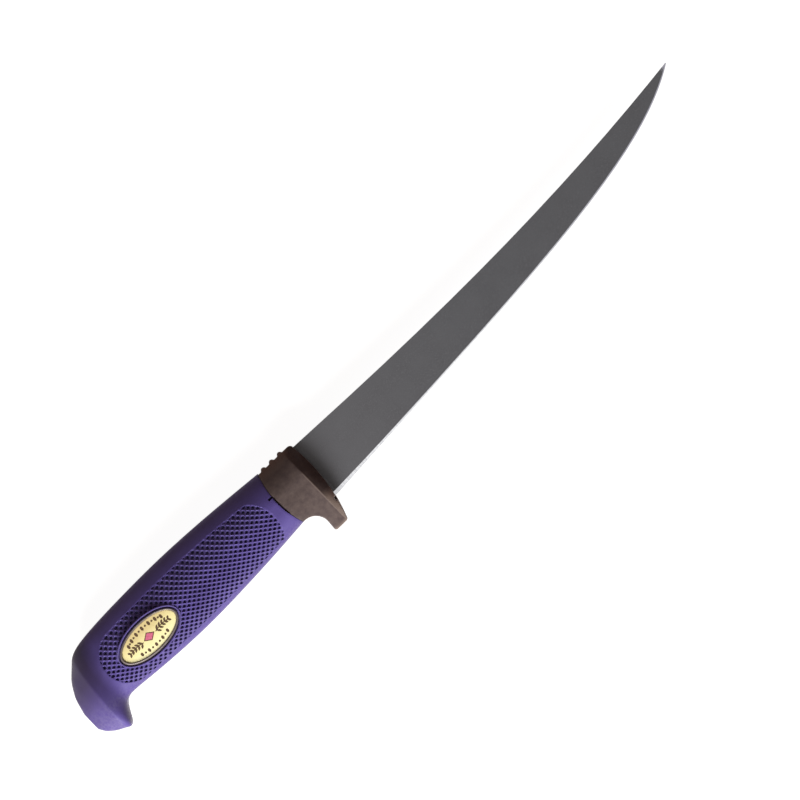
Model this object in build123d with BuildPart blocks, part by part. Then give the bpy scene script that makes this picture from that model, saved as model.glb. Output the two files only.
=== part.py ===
from build123d import *
import os
from math import sqrt

# Fillet knife lying on its side, badge up. X runs from butt to tip, Y from edge to spine, Z is thickness.
# Lengths are millimetres. Places along the knife are counted from the front of the guard.

# Overall
blade_length = 189.6
handle_length = 119.9
handle_thickness = 20.0
tip_rise = 19.2             # tip above the long axis
quillon_drop = 19.2         # foot of the guard below the long axis

# Blade
spine_thickness = 1.9
tip_thickness = 0.7
shoulder_thickness = 0.5    # steel left behind the cutting bevel
edge_thickness = 0.1
spine_root_rise = 12.75
heel_drop = 10.0
heel_bevel_width = 1.4
bevel_width = 0.48
tip_height = 0.4
bevel_narrowing = 7         # power by which the bevel narrows away from the heel
taper_power = 1.2           # power of the distal taper
spine_fall = 5.95           # straight fall of the spine, which its rise then overtakes
spine_power = 2.5
edge_climb = 13.6           # straight climb of the cutting edge
edge_sweep = 12.0           # the belly's upward sweep
edge_sweep_power = 5
tip_sweep_power = 16
station_count = 16
station_crowding = 1.3      # power that crowds the stations towards the tip

# Tang
tang_length = 85.0
tang_root_width = 10.0
tang_end_width = 7.0
tang_axis_rise = 1.5
tang_hole_diameter = 3.6
tang_end_round_share = 0.33
tang_hole_shares = (0.45, 0.85)

# Guard
guard_length = 18.3
guard_rise = 14.25          # top of the guard between its ribs
guard_crown = 15.9          # crown of the guard's oval section, cut off flat at the top
guard_belly_drop = 8.9
joint_radius = 33.6         # bow of the face between guard and grip
joint_rise = 2.9            # height at which that bow is deepest
front_radius = 66.0         # front of the guard, seen from the side
front_rise = 4.2            # height at which the front stands furthest forward
nose_back = 4.4             # crease behind which the sides run level
nose_station_shares = (0, 0.5, 1.1)
nose_half_shares = (1, 0.83, 0.36)
notch_radius = 5.7
notch_centre_back = 15.4
quillon_back = 10.1
quillon_foot_half = 3.0
side_grind = 0.06           # ground flat off each side of the casting
quillon_side_share = 0.35   # straightness of the quillon's sides
quillon_foot_share = 0.35
corner_radius = 0.9
lip_radius = 1.4
rib_count = 3
rib_pitch = 3.95
rib_radius = 0.95
rib_front = 5.8             # front rib behind the front of the guard
pocket_depth = 3.0
pocket_end_gap = 1.3        # pocket below the heel of the blade
slot_gap = 0.12

# Oval cross-section of handle and guard: a narrow crown, a small flat on each side and a fuller belly
waist_share = 0.35          # lower end of the flat, as a share of the height
flat_share = 0.18           # flat, as a share of the height above the waist
crown_side_share = 0.33     # how far the crown's curve keeps to the side and to the top
crown_top_share = 0.45
belly_side_share = 0.6      # the same below the waist
belly_foot_share = 0.7
foot_share = 0.3            # flat under the belly, as a share of the half thickness

# Grip: back and belly heights
back_rise = 17.3
belly_drop = 11.85
beak_drop = 18.4
grip_station_shares = (0.128, 0.253, 0.403, 0.553, 0.703, 0.795, 0.849, 0.882, 0.903, 0.917, 0.931)
grip_back_shares = (0.844, 0.912, 0.975, 1, 0.976, 0.943, 0.905, 0.862, 0.806, 0.74, 0.647)
grip_belly_shares = (0.747, 0.855, 0.952, 1, 0.956, 0.89, 0.86, 1, 1, 1, 1)
grip_beak_shares = (0, 0, 0, 0, 0, 0, 0, 0, 0.63, 1, 0.93)
grip_half_shares = (0.993, 0.995, 0.997, 0.998, 0.992, 0.965, 0.935, 0.935, 0.955, 0.98, 0.995)
cap_station_shares = (0.964, 0.988, 1)
cap_back_shares = (0.416, 0.113, -0.22)
cap_belly_shares = (1, 1, 0.954)
cap_beak_shares = (0.64, 0.28, 0)
cap_half_shares = (0.62, 0.27, 0.1)

# Checkered field on each side of the grip
field_depth = 0.35
field_front = 22.8
field_front_rise = 10.3
field_front_drop = 9.0
field_corner = 3.0          # how far the corners at the guard lie behind the field's front
field_middle = 60.0
field_middle_rise = 11.8
field_middle_drop = 10.1
field_rear_turn = 92.5
field_rear_rise = 11.2
field_rear_drop = 9.7
field_rear = 103.4
field_rear_axis_rise = 0.9
field_corner_radius = 3.0

# Badge
badge_centre_back = 83.35
badge_centre_drop = 0.1
plate_half_length = 12.25
plate_half_height = 5.35
bezel_width = 0.95
groove_width = 0.4
groove_depth = 0.9
collar_width = 0.6
badge_pocket_depth = 1.9
pad_thickness = 0.3
plate_thickness = 1.1
plate_gap = 0.05
bezel_proud = 0.15
bezel_chamfer_share = 0.32   # of the bezel's width

# Rigid core
core_height = 15.4
core_thickness = 12.0
core_axis_rise = 2.5
core_radius = 3.0
core_rear = 101.0
core_groove_count = 4
core_groove_pitch = 20.0
core_groove_first = 30.0
core_groove_width = 3.0
core_groove_depth = 1.2
tenon_height = 12.4
tenon_thickness = 7.0
tenon_depth = 3.5

# One overrun serves every cut
overrun = 2.0

half_thickness = handle_thickness / 2
half_spine = spine_thickness / 2
root_x = (handle_length - blade_length) / 2
os.makedirs("parts", exist_ok=True)


def cross_plane(ahead):
    """Plane across the knife; its own x is the knife's Y and its own y is the knife's Z."""
    return Plane(origin=(root_x + ahead, 0, half_thickness), x_dir=(0, 1, 0), z_dir=(1, 0, 0))


side_plane = Plane(origin=(root_x, 0, half_thickness))
top_plane = Plane(origin=(root_x, 0, handle_thickness))


def blade_section(ahead, spine, edge, half_back, half_shoulder, bevel):
    half_edge = edge_thickness / 2
    shoulder = edge + bevel
    with BuildSketch(cross_plane(ahead)) as section:
        Polygon(
            (spine, half_back),
            (shoulder, half_shoulder),
            (edge, half_edge),
            (edge, -half_edge),
            (shoulder, -half_shoulder),
            (spine, -half_back),
            align=None,
        )
    return section.sketch


def spine_height(station):
    rise = tip_rise - spine_root_rise + spine_fall
    return spine_root_rise - spine_fall * station + rise * station**spine_power


def edge_height(station):
    tip_sweep = tip_rise - tip_height + heel_drop - edge_climb - edge_sweep
    climb = edge_climb * station + edge_sweep * station**edge_sweep_power
    return -heel_drop + climb + tip_sweep * station**tip_sweep_power


def ground_section(number):
    """Section of the flat-ground blade at one of its stations."""
    station = 1 - (1 - number / station_count) ** station_crowding
    spine = spine_height(station)
    edge = edge_height(station)
    half_back = (spine_thickness - (spine_thickness - tip_thickness) * station**taper_power) / 2
    half_shoulder = min(shoulder_thickness, tip_thickness) / 2
    narrowing = (1 - station) ** bevel_narrowing
    bevel = bevel_width + (heel_bevel_width - bevel_width) * narrowing
    bevel = min(bevel, (spine - edge) / 2)
    return blade_section(blade_length * station, spine, edge, half_back, half_shoulder, bevel)


def handle_section(ahead, back, waist, belly, half, foot, side_share, round_share):
    """Oval section: its crown, side flat and belly on one side of the knife, mirrored to the other."""
    shoulder = waist + (back - waist) * flat_share
    crown_side = shoulder + (back - shoulder) * crown_side_share
    belly_side = waist - (waist - belly) * side_share
    belly_round = foot + (half - foot) * round_share
    with BuildSketch(cross_plane(ahead)) as section:
        with BuildLine():
            Bezier((back, 0), (back, half * crown_top_share), (crown_side, half), (shoulder, half))
            Line((shoulder, half), (waist, half))
            Bezier((waist, half), (belly_side, half), (belly, belly_round), (belly, foot))
            Line((belly, foot), (belly, 0))
            mirror(about=Plane.XZ)
        make_face()
    return section.sketch


def grip_section(station, back_share, belly_share, beak_share, half_share, inset):
    back = back_rise * back_share
    belly = -belly_drop * belly_share - (beak_drop - belly_drop) * beak_share
    waist = belly + (back - belly) * waist_share
    half = half_thickness * half_share - inset
    foot = half * foot_share
    return handle_section(
        -handle_length * station, back, waist, belly, half, foot, belly_side_share, belly_foot_share
    )


def barrel_sections(inset):
    rows = zip(
        grip_station_shares, grip_back_shares, grip_belly_shares, grip_beak_shares, grip_half_shares
    )
    return [grip_section(*row, inset) for row in rows]


def joint_back(rise):
    """How far behind the guard's front the joint lies at a height."""
    return guard_length - joint_radius + sqrt(joint_radius**2 - (rise - joint_rise) ** 2)


# Blade: ground from the spine down, thinner towards the tip, with a narrow cutting bevel
ground_sections = [ground_section(number) for number in range(station_count + 1)]
root_section = blade_section(
    -pocket_depth, spine_root_rise, -heel_drop, half_spine, half_spine, heel_bevel_width
)
tang_root = -pocket_depth
tang_end = -pocket_depth - tang_length

with BuildPart() as blade:
    with BuildSketch(side_plane) as tang_outline:
        with BuildLine():
            Polyline(
                (tang_root, tang_axis_rise + tang_root_width / 2),
                (tang_end, tang_axis_rise + tang_end_width / 2),
                (tang_end, tang_axis_rise - tang_end_width / 2),
                (tang_root, tang_axis_rise - tang_root_width / 2),
                close=True,
            )
        make_face()
        fillet(tang_outline.vertices().group_by(Axis.X)[0], tang_end_width * tang_end_round_share)
        with Locations([(tang_root - tang_length * share, tang_axis_rise) for share in tang_hole_shares]):
            Circle(tang_hole_diameter / 2, mode=Mode.SUBTRACT)
    extrude(amount=half_spine, both=True)
    loft(sections=[root_section, ground_sections[0]], ruled=True)
    loft(sections=ground_sections)
blade.part.label = "blade"
export_step(blade.part, "parts/blade.step")

# Region in front of the bowed joint, seen from the side
joint_reach = max(back_rise, quillon_drop)
with BuildSketch(side_plane) as joint_region:
    with BuildLine():
        ThreePointArc(
            (-joint_back(joint_reach), joint_reach),
            (-guard_length, joint_rise),
            (-joint_back(-joint_reach), -joint_reach),
        )
        Polyline(
            (-joint_back(-joint_reach), -joint_reach),
            (overrun, -joint_reach),
            (overrun, joint_reach),
            (-joint_back(joint_reach), joint_reach),
        )
    make_face()

# Guard: one casting of oval sections, drawn in to a nose at the blade and cut to its side outline
guard_waist = -guard_belly_drop + (guard_crown + guard_belly_drop) * waist_share
cast_half = half_thickness + side_grind


def quillon_section(ahead, half_share=1):
    return handle_section(
        ahead,
        guard_crown,
        guard_waist,
        -quillon_drop,
        cast_half * half_share,
        quillon_foot_half * half_share,
        quillon_side_share,
        quillon_foot_share,
    )


guard_sections = [
    handle_section(
        -guard_length - overrun,
        guard_crown,
        guard_waist,
        -guard_belly_drop,
        cast_half,
        cast_half * foot_share,
        belly_side_share,
        belly_foot_share,
    ),
    quillon_section(-quillon_back),
    quillon_section(-nose_back),
]
nose_sections = [
    quillon_section(nose_back * (station_share - 1), half_share)
    for station_share, half_share in zip(nose_station_shares, nose_half_shares)
]


def front_back(rise):
    """How far the guard's front lies behind its foremost point at a height."""
    return front_radius - sqrt(front_radius**2 - (rise - front_rise) ** 2)


notch_top = (-notch_centre_back, -guard_belly_drop)
notch_turn = notch_radius / sqrt(2)
notch_middle = (-notch_centre_back + notch_turn, -guard_belly_drop - notch_radius + notch_turn)
notch_foot = (-notch_centre_back + notch_radius, -guard_belly_drop - notch_radius)
foot_front = -front_back(-quillon_drop)

with BuildSketch(side_plane) as guard_outline:
    with BuildLine():
        ThreePointArc(
            (-joint_back(guard_rise), guard_rise),
            (-guard_length, joint_rise),
            (-joint_back(-guard_belly_drop), -guard_belly_drop),
        )
        Line((-joint_back(-guard_belly_drop), -guard_belly_drop), notch_top)
        ThreePointArc(notch_top, notch_middle, notch_foot)
        Polyline(notch_foot, (-quillon_back, -quillon_drop), (foot_front, -quillon_drop))
        ThreePointArc(
            (foot_front, -quillon_drop), (0, front_rise), (-front_back(guard_rise), guard_rise)
        )
        Line((-front_back(guard_rise), guard_rise), (-joint_back(guard_rise), guard_rise))
    make_face()
    fillet(guard_outline.vertices().group_by(Axis.Y)[0], corner_radius)
    fillet(guard_outline.vertices().group_by(Axis.Y)[-1].sort_by(Axis.X)[-1], lip_radius)
    with Locations([(-rib_front - rib_pitch * number, guard_rise) for number in range(rib_count)]):
        Circle(rib_radius)

with BuildPart() as guard:
    loft(sections=guard_sections)
    loft(sections=nose_sections)
    extrude(guard_outline.sketch, amount=half_thickness, both=True, mode=Mode.INTERSECT)
    with BuildSketch(side_plane) as blade_pocket:
        with BuildLine():
            Polyline(
                (overrun, spine_root_rise + slot_gap),
                (-pocket_depth, spine_root_rise + slot_gap),
                (-pocket_depth, -heel_drop - pocket_end_gap),
                (overrun, -heel_drop - pocket_end_gap),
                close=True,
            )
        make_face()
    extrude(amount=half_spine + slot_gap, both=True, mode=Mode.SUBTRACT)
    with BuildSketch(side_plane) as tang_slot:
        with Locations((-guard_length / 2 - overrun, tang_axis_rise)):
            Rectangle(guard_length, tang_root_width + 2 * slot_gap)
    extrude(amount=half_spine + slot_gap, both=True, mode=Mode.SUBTRACT)
    with BuildSketch(side_plane) as tenon_socket:
        with Locations((-guard_length, tang_axis_rise)):
            Rectangle(2 * tenon_depth, tenon_height)
    extrude(amount=tenon_thickness / 2, both=True, mode=Mode.SUBTRACT)
guard.part.label = "guard"
export_step(guard.part, "parts/guard.step")

# Rigid core: a rounded bar with keying grooves, fitted round the tang
with BuildPart() as handle_core:
    with BuildSketch(cross_plane(-core_rear)) as core_bar:
        with Locations((core_axis_rise, 0)):
            RectangleRounded(core_height, core_thickness, core_radius)
    extrude(amount=core_rear - guard_length + tenon_depth)
    for number in range(core_groove_count):
        groove_place = -core_groove_first - core_groove_pitch * number
        with BuildSketch(cross_plane(groove_place)) as core_groove:
            with Locations((core_axis_rise, 0)):
                Rectangle(core_height + overrun, core_thickness + overrun)
                RectangleRounded(
                    core_height - 2 * core_groove_depth,
                    core_thickness - 2 * core_groove_depth,
                    core_radius - core_groove_depth,
                    mode=Mode.SUBTRACT,
                )
        extrude(amount=-core_groove_width, mode=Mode.SUBTRACT)
    extrude(joint_region.sketch, amount=handle_thickness, both=True, mode=Mode.SUBTRACT)
    with BuildSketch(side_plane) as tenon:
        with Locations((-guard_length, tang_axis_rise)):
            Rectangle(2 * tenon_depth, tenon_height)
    extrude(amount=tenon_thickness / 2, both=True)
    core_shape = handle_core.part
    add(blade.part, mode=Mode.SUBTRACT)
handle_core.part.label = "handle_core"
export_step(handle_core.part, "parts/handle_core.step")

# Grip: lofted rubber body with a flared butt, a hooked beak and a keeled end
cap_rows = zip(cap_station_shares, cap_back_shares, cap_belly_shares, cap_beak_shares, cap_half_shares)
cap_sections = [barrel_sections(0)[-1]] + [grip_section(*row, 0) for row in cap_rows]

with BuildSketch(side_plane) as field_outline:
    with BuildLine():
        ThreePointArc(
            (-field_front - field_corner, field_front_rise),
            (-field_middle, field_middle_rise),
            (-field_rear_turn, field_rear_rise),
        )
        ThreePointArc(
            (-field_rear_turn, field_rear_rise),
            (-field_rear, field_rear_axis_rise),
            (-field_rear_turn, -field_rear_drop),
        )
        ThreePointArc(
            (-field_rear_turn, -field_rear_drop),
            (-field_middle, -field_middle_drop),
            (-field_front - field_corner, -field_front_drop),
        )
        ThreePointArc(
            (-field_front - field_corner, -field_front_drop),
            (-field_front, field_rear_axis_rise),
            (-field_front - field_corner, field_front_rise),
        )
    make_face()
    fillet(field_outline.vertices().group_by(Axis.X)[-1], field_corner_radius)

bezel_half_length = plate_half_length + bezel_width
bezel_half_height = plate_half_height + bezel_width
groove_half_length = bezel_half_length + groove_width
groove_half_height = bezel_half_height + groove_width
badge_place = (-badge_centre_back, -badge_centre_drop)

with BuildSketch(side_plane) as collar_outline:
    with Locations(badge_place):
        Ellipse(groove_half_length + collar_width, groove_half_height + collar_width)

with BuildPart() as field_floor:
    loft(sections=barrel_sections(field_depth))

with BuildPart() as field_cut:
    extrude(field_outline.sketch, amount=handle_thickness, both=True)
    extrude(collar_outline.sketch, amount=handle_thickness, mode=Mode.SUBTRACT)
    add(field_floor.part, mode=Mode.SUBTRACT)

with BuildPart() as grip:
    loft(sections=barrel_sections(0))
    loft(sections=cap_sections, ruled=True)
    extrude(joint_region.sketch, amount=handle_thickness, both=True, mode=Mode.SUBTRACT)
    add(field_cut.part, mode=Mode.SUBTRACT)
    extrude(collar_outline.sketch, amount=half_thickness)
    with BuildSketch(top_plane) as groove_outline:
        with Locations(badge_place):
            Ellipse(groove_half_length, groove_half_height)
    extrude(amount=-groove_depth, mode=Mode.SUBTRACT)
    with BuildSketch(top_plane) as badge_pocket:
        with Locations(badge_place):
            Ellipse(bezel_half_length, bezel_half_height)
    extrude(amount=-badge_pocket_depth, mode=Mode.SUBTRACT)
    add(core_shape, mode=Mode.SUBTRACT)
grip.part.label = "grip"
export_step(grip.part, "parts/grip.step")

# Badge: pad, plate and frame stacked on the floor of the pocket
pocket_floor = top_plane.offset(-badge_pocket_depth)

with BuildPart() as badge_pad:
    with BuildSketch(pocket_floor):
        with Locations(badge_place):
            Ellipse(plate_half_length - plate_gap, plate_half_height - plate_gap)
    extrude(amount=pad_thickness)
badge_pad.part.label = "badge_pad"
export_step(badge_pad.part, "parts/badge_pad.step")

with BuildPart() as badge_plate:
    with BuildSketch(pocket_floor.offset(pad_thickness)):
        with Locations(badge_place):
            Ellipse(plate_half_length - plate_gap, plate_half_height - plate_gap)
    extrude(amount=plate_thickness)
badge_plate.part.label = "badge_plate"
export_step(badge_plate.part, "parts/badge_plate.step")

with BuildPart() as badge_bezel:
    with BuildSketch(pocket_floor):
        with Locations(badge_place):
            Ellipse(bezel_half_length, bezel_half_height)
            Ellipse(plate_half_length, plate_half_height, mode=Mode.SUBTRACT)
    extrude(amount=badge_pocket_depth + bezel_proud)
    chamfer(badge_bezel.faces().sort_by(Axis.Z)[-1].edges(), bezel_width * bezel_chamfer_share)
badge_bezel.part.label = "badge_bezel"
export_step(badge_bezel.part, "parts/badge_bezel.step")
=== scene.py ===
import math
from functools import partial

import bmesh
import bpy
import numpy as np
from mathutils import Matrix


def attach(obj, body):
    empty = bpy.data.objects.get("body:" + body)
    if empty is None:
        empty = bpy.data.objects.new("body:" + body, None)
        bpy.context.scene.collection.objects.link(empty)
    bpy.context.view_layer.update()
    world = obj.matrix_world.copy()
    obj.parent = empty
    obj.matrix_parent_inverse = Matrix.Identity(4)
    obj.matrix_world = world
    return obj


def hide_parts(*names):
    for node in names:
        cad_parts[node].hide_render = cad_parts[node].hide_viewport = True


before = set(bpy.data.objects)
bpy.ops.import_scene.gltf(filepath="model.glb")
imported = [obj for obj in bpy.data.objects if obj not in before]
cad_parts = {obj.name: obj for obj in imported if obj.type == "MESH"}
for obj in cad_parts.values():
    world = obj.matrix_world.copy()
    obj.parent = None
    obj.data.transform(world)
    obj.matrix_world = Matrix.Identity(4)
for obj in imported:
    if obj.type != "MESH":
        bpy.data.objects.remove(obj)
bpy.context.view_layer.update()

# The knife lies on its side with the badge up. Sizes are millimetres until a mesh is made of them.
# Places along the knife are counted from the front of the guard, which is at root_x in the shared frame.
METRE = 0.001
root_x = -34.85
mid_z = 10.0
overrun = 2.0                   # by which a cut runs past what it cuts

# Handle: oval sections, whose sizes are shares of the handle's own
handle_length = 119.9
half_thickness = 10.0
guard_length = 18.3
joint_radius, joint_sag = 38.0, 0.26
joint_rise = 2.9
back_rise = 17.3
belly_drop = 11.85
beak_drop = 18.4
waist_share, flat_share = 0.35, 0.18
crown_side_share, crown_top_share = 0.33, 0.45
belly_side_share, belly_foot_share, foot_share = 0.6, 0.7, 0.3
grip_stations = (0.128, 0.253, 0.403, 0.553, 0.703, 0.795, 0.849, 0.882, 0.903, 0.917, 0.931)
grip_backs = (0.844, 0.912, 0.975, 1, 0.976, 0.943, 0.905, 0.862, 0.806, 0.74, 0.647)
grip_bellies = (0.747, 0.855, 0.952, 1, 0.956, 0.89, 0.86, 1, 1, 1, 1)
grip_beaks = (0, 0, 0, 0, 0, 0, 0, 0, 0.63, 1, 0.93)
grip_halves = (0.993, 0.995, 0.997, 0.998, 0.985, 0.93, 0.876, 0.873, 0.918, 0.966, 1.004)
cap_stations = (0.964, 0.988, 1)
cap_backs = (0.416, 0.113, -0.22)
cap_bellies = (1, 1, 0.954)
cap_beaks = (0.64, 0.28, 0)
cap_halves = (0.62, 0.27, 0.1)
rim_reach, cap_reaches = 0.5, (1.2, 0.6)        # how far the rounds run from the rim and the cap's corners
rim_round_share = 0.999                         # keeps the round's first place apart from the barrel's last

# Rim of the butt: how far it bows towards the guard at each height
bow_rises = (-17.0, -10.5, -3.4, 0.2, 7.3, 12.0, 15.0)
bow_shifts = (-0.1, 0.05, 0.6, 0.95, 1.6, 2.55, 3.4)
bow_start = -98.0

# Painted on the rubber: painted shade in the hollow before the rim and over the cap's back, scuffs with
# painted sheen towards the beak, and painted sheen along the belly, each by its share at places behind the
# guard's front or at heights
hollow_backs, hollow_shade = (103.0, 106.0, 108.5, 111.5), (0, 0.4, 0.68, 0.72)
hollow_rises, hollow_shares = (-12.0, -6.0, 2.0, 8.0), (0, 0.35, 1.0, 1.25)
cap_rises, cap_shade, cap_scuff_and_sheen = (-13.0, -7.0, -2.0, 3.0), (0.12, 0.25, 0.55, 0.8), (0.45, 0.2, 0, 0)
belly_rises, belly_sheen = (-11.5, -9.5, -7.0, -4.5), (0.05, 0.3, 0.12, 0)

# Guard
guard_rise, guard_crown, guard_belly_drop = 14.25, 15.9, 8.9
side_grind = -0.06              # how far the casting's sides stand out from the handle's
front_radius, front_rise = 66.0, 4.2
nose_back, nose_front = 4.4, 0.4                # crease behind which the sides run level, and the loft's end
nose_stations, nose_halves = (0, 0.5, 1.1), (1, 0.79, 0.38)
notch_radius, notch_centre_back = 5.7, 15.4
quillon_back, quillon_drop, quillon_foot_half = 10.1, 19.2, 3.0
quillon_side_share, quillon_foot_share = 0.35, 0.35
corner_radius, lip_radius = 0.9, 1.4
rib_count, rib_pitch, rib_radius, rib_front = 3, 3.95, 0.95, 5.8
pocket_depth, pocket_end_gap, slot_half, slot_gap = 3.0, 1.3, 1.07, 0.12
spine_root_rise, heel_drop = 12.75, 10.0
tang_axis_rise, tang_root_width = 1.5, 10.0
tenon_height, tenon_half, tenon_depth = 12.4, 3.5, 3.5
body_steps, nose_steps = 50, 20
joint_steps, notch_steps, front_steps, corner_steps, rib_steps = 60, 24, 22, 7, 13
casting_grain = 0.22            # size of the cells that the casting is remeshed in
tumbling_share, tumbling_rounds = 0.5, 3

# Joint: the rubber has shrunk from the casting over a short run
gap_low, gap_high, gap_fade = -3.6, 5.4, 0.9
gap_in_rubber, gap_in_guard, gap_depth = 0.12, 0.3, 1.2
joint_lips = ((0.3, 0.0), (0.06, 0.05), (0.0, 0.22))    # the rubber's lip: how far drawn in, how far set back

# Nicks: from where to where along the knife, in height and in depth
side_nick = (-19.7, -17.3), (4.75, 5.5), (16.5, 21.0)
back_nick = (-16.9, -15.8), (13.3, 14.2), (12.5, 21.0)
heel_nick = (-2.6, 0.2), (-11.6, -10.1), (11.0, 21.0)

# Checkering: rows of oval pits, with lands between them, in a field a little below the smooth rubber
pitch_along = 2.528
pitch_across = 2.055            # at the middle row; rows spread towards the back and crowd towards the belly
row_rise = 0.33
row_slope = 0.011               # the rows rise a little towards the guard
row_spread = 0.0103             # per millimetre from the middle row
column_lean, column_bow = -0.07, 0.0068
field_middle = -48.0
pit_depth = 0.9
pit_width_share, pit_length_share = 0.45, 0.42  # half sizes, of the step from pit to pit
pit_sharpness = 0.6             # power by which a pit's walls steepen
pit_margin = -0.35              # how far outside the field's outline a cut pit's centre may lie
field_recess, recess_run = 0.14, 0.4
field_front, field_front_turn = -22.0, -27.0
field_front_foot = -10.8        # where the front edge would meet the turn if the lower edge didn't cut it
field_rear, field_rear_turn = -103.4, -92.5
field_upper = ((-27.0, 9.9), (-60.0, 11.8), (-92.5, 11.2))
field_lower = ((-27.0, -8.7), (-60.0, -10.1), (-92.5, -9.7))
field_axis_rise = 0.9

# Mesh of the grip: rows round it and columns along it, on the lattice of the checkering where that lies
section_steps = 40
steps_per_pitch = 8             # mesh steps in one pitch, so that pit edges lie on mesh edges
belly_steps, spine_steps = 14, 18
row_first, row_last = -48, 44   # in mesh steps from the middle row
row_edge = 0.5                  # nearest that a checkering row comes to belly or spine
column_first, column_last = 65, 333             # in mesh steps from the guard's front
front_shares = (0.25, 0.5, 0.75)                # columns between the joint and the lattice
rear_columns = 16
lean_front, lean_full = -20.5, -23.0            # where the columns start to lean, and where they lean fully
barely = 0.001                  # keeps a run from being nothing
butt_steps = 6

# Badge
badge_x, badge_y = -83.35, -0.1
plate_half_length, plate_half_height = 12.25, 5.35
bezel_width = 0.95
groove_width = 0.4
groove_floor = 19.1
pocket_floor = 18.1
collar_width = 0.6
collar_top = 20.0
collar_foot = 14.0
bezel_top = 20.15
plate_edge_low, plate_edge_high, plate_crown = 18.4, 19.44, 0.16
ring_steps, bezel_steps = 128, 160
rubber_crease, bezel_crease, foil_crease = 32, 50, 40   # degrees at which an edge stays sharp
groove_reach = bezel_width + groove_width
collar_reach = groove_reach + collar_width

# Rings round the badge: how far each stands beyond the plate's outline, and at what height
collar_profile = (
    (collar_reach + 0.15, collar_foot),
    (collar_reach, collar_top - 0.4),
    (collar_reach - 0.05, collar_top - 0.15),
    (collar_reach - 0.2, collar_top),
)
pocket_profile = (
    (bezel_width, pocket_floor),
    (bezel_width, groove_floor),
    (groove_reach, groove_floor),
    (groove_reach, collar_top - 0.22),
    (groove_reach + 0.05, collar_top - 0.08),
    (groove_reach + 0.2, collar_top),
    (groove_reach + 0.5, collar_top + 1.5),
)
bezel_profile = (
    (0.0, pocket_floor),
    (bezel_width, pocket_floor),
    (bezel_width, bezel_top - 0.85),
    (bezel_width - 0.05, bezel_top - 0.55),
    (bezel_width - 0.18, bezel_top - 0.28),
    (bezel_width - 0.36, bezel_top - 0.09),
    (bezel_width - 0.52, bezel_top),
    (0.28, bezel_top - 0.01),
    (0.19, bezel_top - 0.1),
    (0.15, bezel_top - 0.3),
    (0.0, bezel_top - 0.45),
)

# Print on the badge: two leafy sprigs either side of a lozenge, under and over a row of lozenges and beads
ink_root, ink_thickness, enamel_lift = 0.05, 0.03, 0.012
stem_start, stem_run, stem_base, stem_rise = 2.9, 6.6, -0.3, 0.5
stem_width, stem_points = 0.36, 15
leaf_count, leaf_first, leaf_last, leaf_lean = 5, 0.08, 0.9, 46
leaf_length, leaf_shrink, leaf_width, leaf_bluntness, leaf_steps = 2.0, 0.14, 0.8, 0.8, 10
mark_rows = ((1, 13, 0.93, 0.95), (-1, 9, 0.68, 0.8))    # side, count, half the arc, half height of a lozenge
mark_half_width, bead_half_width, bead_half_height = 0.5, 0.38, 0.42
row_length_share, row_height_share = 0.8, 0.71
mark_corners = ((1, 0.5), (0, 1), (-1, 0.5), (-1, -0.5), (0, -1), (1, -0.5))
lozenge_half_length, lozenge_half_height, lozenge_rim = 2.0, 1.4, 1.28


def linear(code):
    """An sRGB hex colour as linear RGBA."""
    parts = [int(code[k:k + 2], 16) / 255 for k in (1, 3, 5)]
    return [c / 12.92 if c <= 0.04045 else ((c + 0.055) / 1.055) ** 2.4 for c in parts] + [1]


def fill(tree, node, inputs):
    """Set or link a node's inputs: each is a value, a socket, or a node whose first output is meant."""
    for key, value in (inputs.items() if isinstance(inputs, dict) else enumerate(inputs)):
        if isinstance(value, bpy.types.Node):
            value = value.outputs[0]
        if isinstance(value, bpy.types.NodeSocket):
            tree.links.new(value, node.inputs[key])
        else:
            node.inputs[key].default_value = value


def add(tree, kind, inputs=(), stops=(), **settings):
    """One node with its settings, inputs and, on a ramp, stops: each a place and a hex colour.

    A kind without Node in it is a shader node's. A node's operation may follow its kind.
    """
    kind, _, operation = kind.partition(" ")
    made = tree.nodes.new(kind if "Node" in kind else "ShaderNode" + kind)
    if operation:
        made.operation = operation
    for name, value in settings.items():
        setattr(made, name, value)
    for _ in stops[2:]:
        made.color_ramp.elements.new(0.5)
    if stops:
        for element, (place, code) in zip(made.color_ramp.elements, stops):
            element.position = place
            element.color = linear(code)
    fill(tree, made, inputs)
    return made


def cleared(holder, output_kind):
    """The node tree of a material or world, emptied but for its output, and the output's surface."""
    holder.use_nodes = True
    holder.node_tree.nodes.clear()
    return holder.node_tree, add(holder.node_tree, output_kind).inputs["Surface"]


def finish_named(name):
    """A material whose tree holds only its output and shader."""
    made = bpy.data.materials.new(name)
    tree, surface = cleared(made, "OutputMaterial")
    shader = add(tree, "BsdfPrincipled")
    tree.links.new(shader.outputs[0], surface)
    return made, tree, shader


def layered(tree, colour, *layers):
    """Colours laid over a first one in turn: each layer is its share and a hex colour or a socket."""
    for share, over in layers:
        over = linear(over) if isinstance(over, str) else over
        colour = add(tree, "Mix", {"Factor": share, 6: colour, 7: over}, data_type="RGBA").outputs[2]
    return colour


def grain(tree, size_mm, detail=2.0, roughness=0.5, stretch=(1, 1, 1)):
    """Noise in object space whose spots are about size_mm across."""
    place = add(tree, "TexCoord").outputs["Object"]
    scaled = add(tree, "VectorMath MULTIPLY", (place, stretch))
    return add(
        tree,
        "TexNoise",
        {"Vector": scaled, "Scale": 1 / (size_mm * METRE), "Detail": detail, "Roughness": roughness},
    ).outputs["Fac"]


def object_place(tree):
    """A point's place in object space, one output for each axis."""
    return add(tree, "SeparateXYZ", (add(tree, "TexCoord").outputs["Object"],)).outputs


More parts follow.
